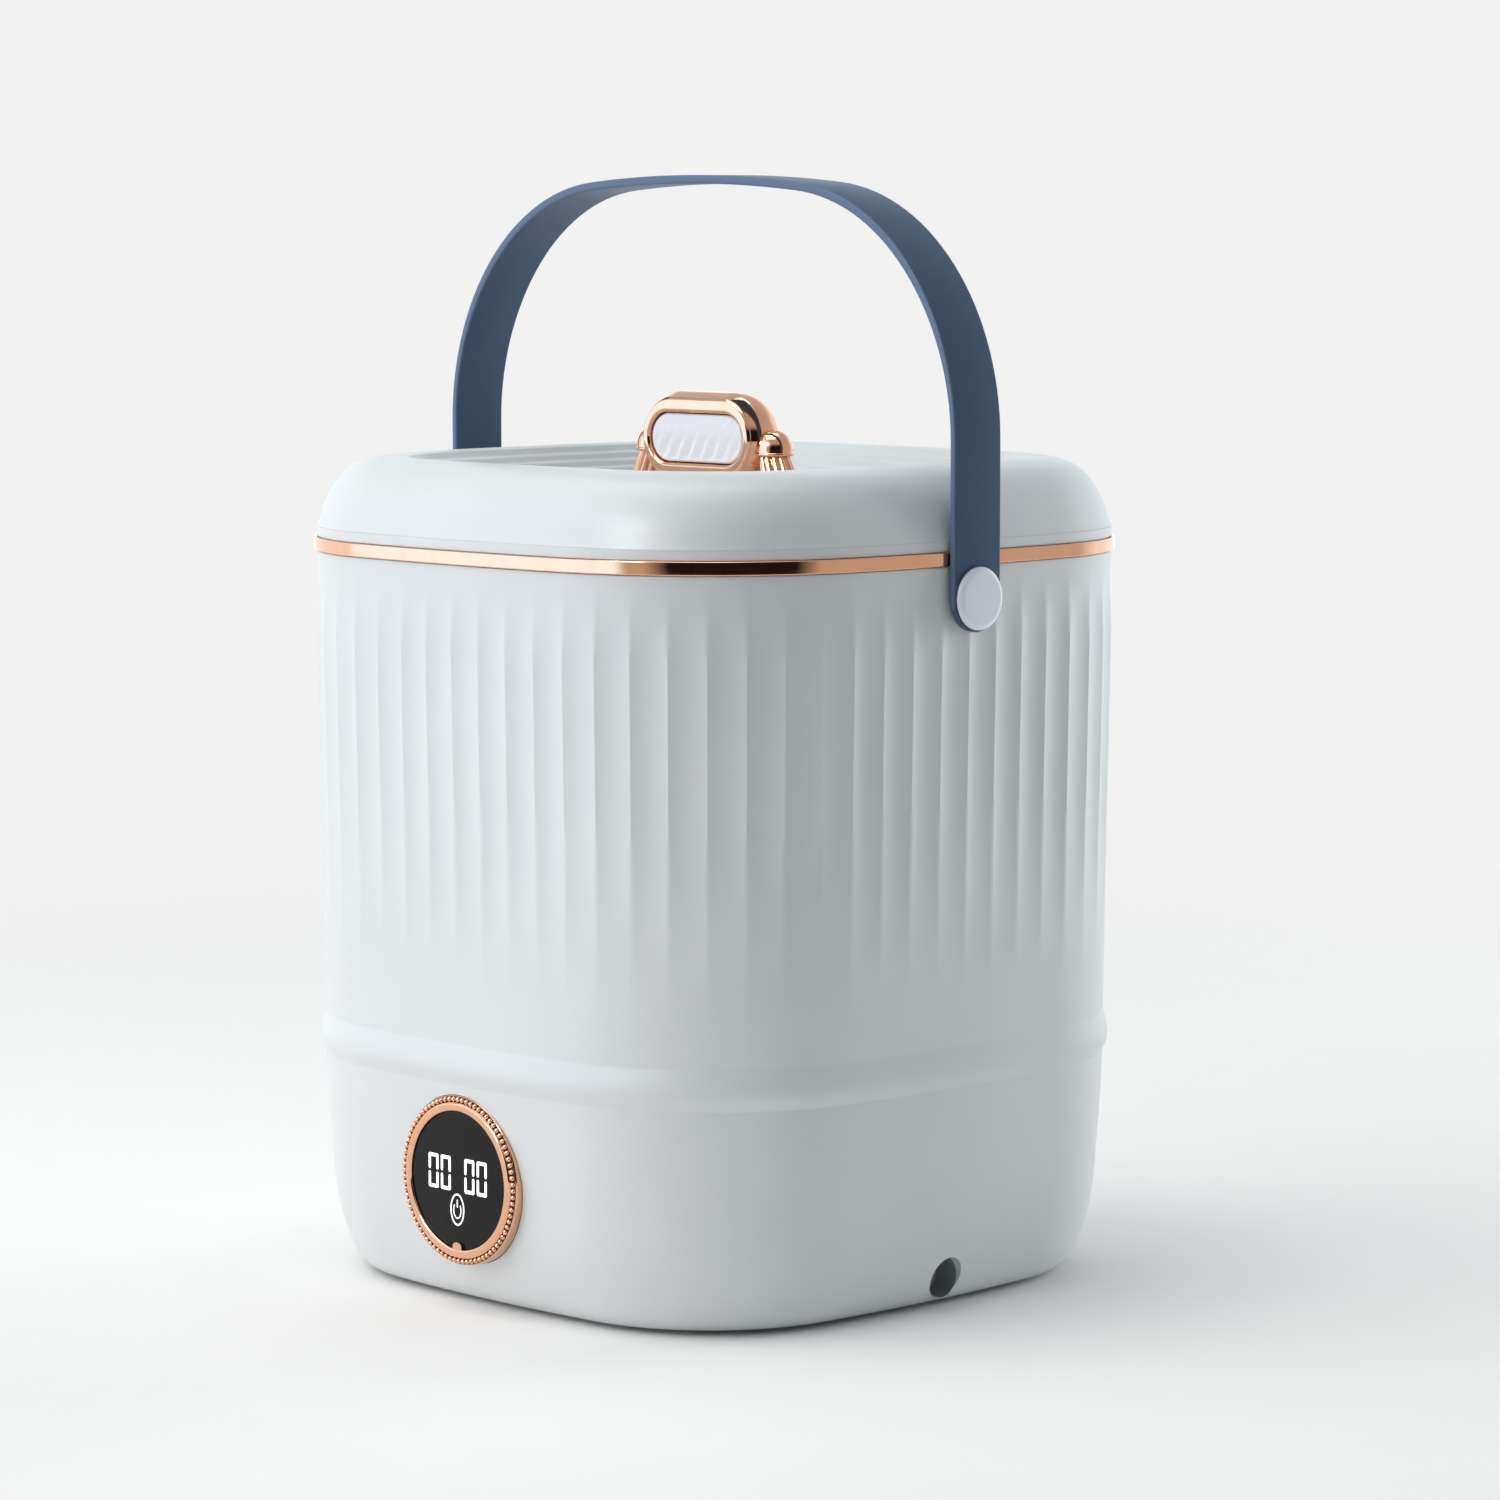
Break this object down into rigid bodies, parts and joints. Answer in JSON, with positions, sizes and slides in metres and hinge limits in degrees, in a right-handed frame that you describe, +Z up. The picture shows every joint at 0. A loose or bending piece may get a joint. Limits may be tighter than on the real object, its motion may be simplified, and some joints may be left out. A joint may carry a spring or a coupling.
{
  "type": "mini washing machine",
  "caption": "Fluted bucket-shaped mini washing machine with a lift-off lid, a strap handle and a round display dial.",
  "frame": {"origin": "on the floor under the middle of the body", "axes": "+Z up, -Y is the front with the dial, +X is the side with the drain"},
  "size_m": [0.25, 0.2396, 0.3725],
  "materials": {
    "body_abs": "satin moulded plastic",
    "white_plastic": "smooth polypropylene",
    "dark_plastic": "fine grain",
    "rose_gold": "polished rose-gold plating",
    "strap_plastic": "satin navy",
    "cap_plastic": "satin lavender grey",
    "pad_plastic": "smooth white",
    "display_glass": "black-printed display window",
    "black_rubber": "matt",
    "zinc_steel": "zinc plated",
    "ground_steel": "ground",
    "circuit_board": "green solder mask"
  },
  "bodies": {
    "body": {"body_shell": "body_abs", "base_housing": "body_abs", "bottom_cover": "dark_plastic", "foot_1": "black_rubber", "foot_2": "black_rubber", "foot_3": "black_rubber", "foot_4": "black_rubber", "cover_screw_1": "zinc_steel", "cover_screw_2": "zinc_steel", "cover_screw_3": "zinc_steel", "cover_screw_4": "zinc_steel", "trim_ring": "rose_gold", "top_collar": "body_abs", "wash_tub": "white_plastic", "shaft_seal": "black_rubber", "bearing_housing": "zinc_steel", "bearing_upper": "ground_steel", "bearing_lower": "ground_steel", "motor": "zinc_steel", "motor_bracket": "zinc_steel", "bracket_screw_1": "zinc_steel", "bracket_screw_2": "zinc_steel", "bracket_screw_3": "zinc_steel", "drive_belt": "black_rubber", "control_board": "circuit_board", "display_housing": "dark_plastic", "display_board": "circuit_board", "display_glass": "display_glass", "drain_pipe": "white_plastic", "power_inlet": "dark_plastic", "pivot_pin_left": "zinc_steel", "pivot_pin_right": "zinc_steel", "pivot_cap_left": "cap_plastic", "pivot_cap_right": "cap_plastic", "pivot_washer_left": "white_plastic", "pivot_washer_right": "white_plastic"},
    "handle": {"handle_strap": "strap_plastic"},
    "lid": {"lid_shell": "body_abs", "lid_panel": "body_abs", "lid_liner": "white_plastic", "lid_gasket": "black_rubber", "knob_barrel": "rose_gold", "knob_pillar_left": "rose_gold", "knob_pillar_right": "rose_gold", "knob_screw_left": "zinc_steel", "knob_screw_right": "zinc_steel", "pad_spring": "zinc_steel"},
    "pad": {"knob_pad": "pad_plastic"},
    "dial": {"dial_ring": "rose_gold"},
    "agitator": {"pulsator": "white_plastic", "pulsator_cap": "white_plastic", "drive_shaft": "ground_steel", "driven_pulley": "dark_plastic"},
    "motor_rotor": {"motor_shaft": "ground_steel", "motor_pulley": "dark_plastic"},
    "stopper": {"drain_stopper": "pad_plastic"}
  },
  "joints": [
    {"name": "handle_swing", "type": "hinge", "parent": "body", "child": "handle", "pos_m": [0, 0, 0.236], "axis": [1, 0, 0], "range_deg": [-110, 110]},
    {"name": "lid_lift", "type": "slide", "parent": "body", "child": "lid", "axis": [0, 0, 1], "range_m": [0, 0.03]},
    {"name": "pad_press", "type": "slide", "parent": "lid", "child": "pad", "axis": [0, 1, 0], "range_m": [0, 0.0025], "stiffness_N_per_m": 500, "springref_m": -0.0005},
    {"name": "dial_turn", "type": "hinge", "parent": "body", "child": "dial", "pos_m": [0, 0, 0.044], "axis": [0, 1, 0], "continuous": true},
    {"name": "pulsator_spin", "type": "hinge", "parent": "body", "child": "agitator", "pos_m": [0, 0, 0], "axis": [0, 0, 1], "continuous": true},
    {"name": "motor_spin", "type": "hinge", "parent": "body", "child": "motor_rotor", "pos_m": [-0.04667, 0.04667, 0], "axis": [0, 0, 1], "continuous": true},
    {"name": "drain_pull", "type": "slide", "parent": "body", "child": "stopper", "axis": [1, 0, 0], "range_m": [0, 0.02]}
  ],
  "couplings": [
    {"joint": "motor_spin", "follows": "pulsator_spin", "ratio": 4.1395}
  ]
}
